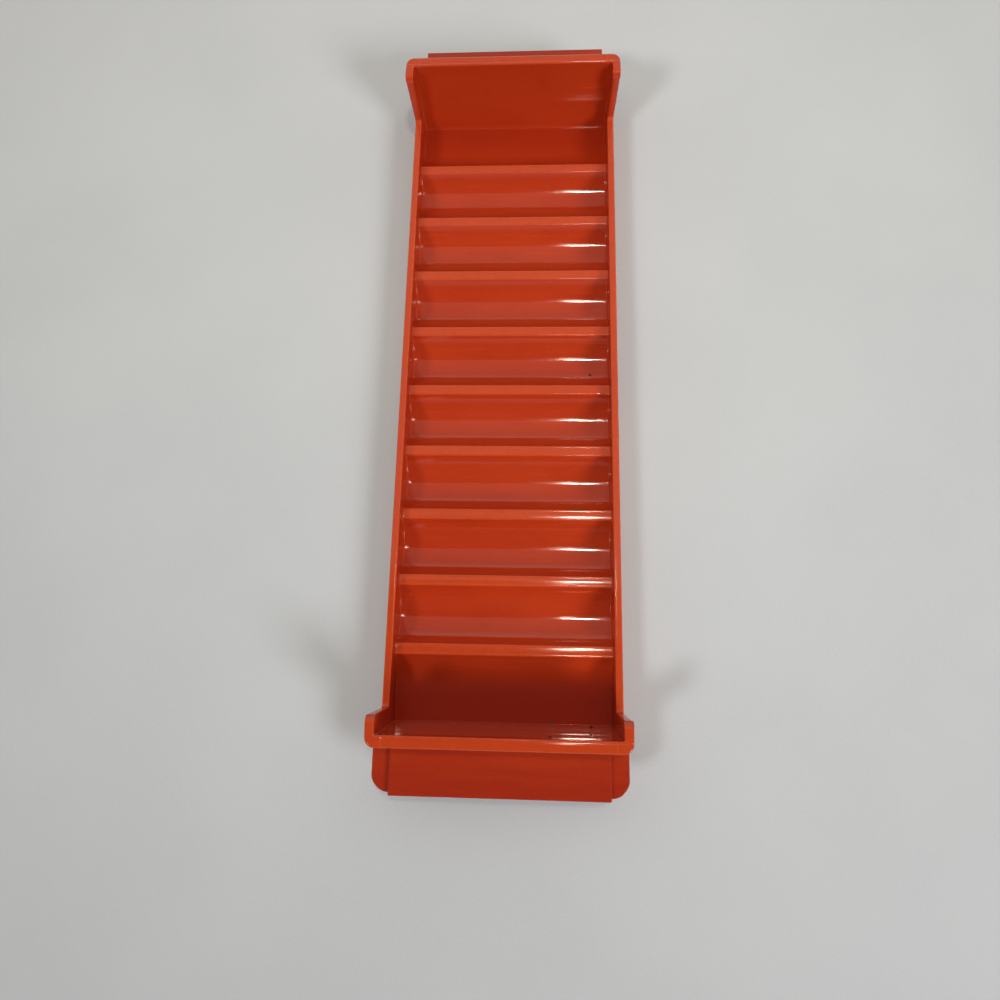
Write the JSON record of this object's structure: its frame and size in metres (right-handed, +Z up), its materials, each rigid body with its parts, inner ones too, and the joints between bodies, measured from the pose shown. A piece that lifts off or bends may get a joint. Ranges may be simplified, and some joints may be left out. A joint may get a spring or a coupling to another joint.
{
  "type": "coin roll tray",
  "caption": "Open moulded tray with a row of round-bottomed cross pockets for coin rolls, low side walls, tall ends and a shelf with a raised panel at each end.",
  "frame": {"origin": "middle of the underside, on the surface that the tray stands on", "axes": "+X across the tray along the coin rolls, +Y along the tray towards its rear end, +Z up"},
  "size_m": [0.0956, 0.3298, 0.0381],
  "materials": {
    "tray_plastic": "semi-gloss moulded, orange-red"
  },
  "bodies": {
    "root": {"pocket_bed": "tray_plastic", "left_side_wall": "tray_plastic", "right_side_wall": "tray_plastic", "front_end_wall": "tray_plastic", "rear_end_wall": "tray_plastic", "front_end_shelf": "tray_plastic", "rear_end_shelf": "tray_plastic"}
  },
  "joints": []
}
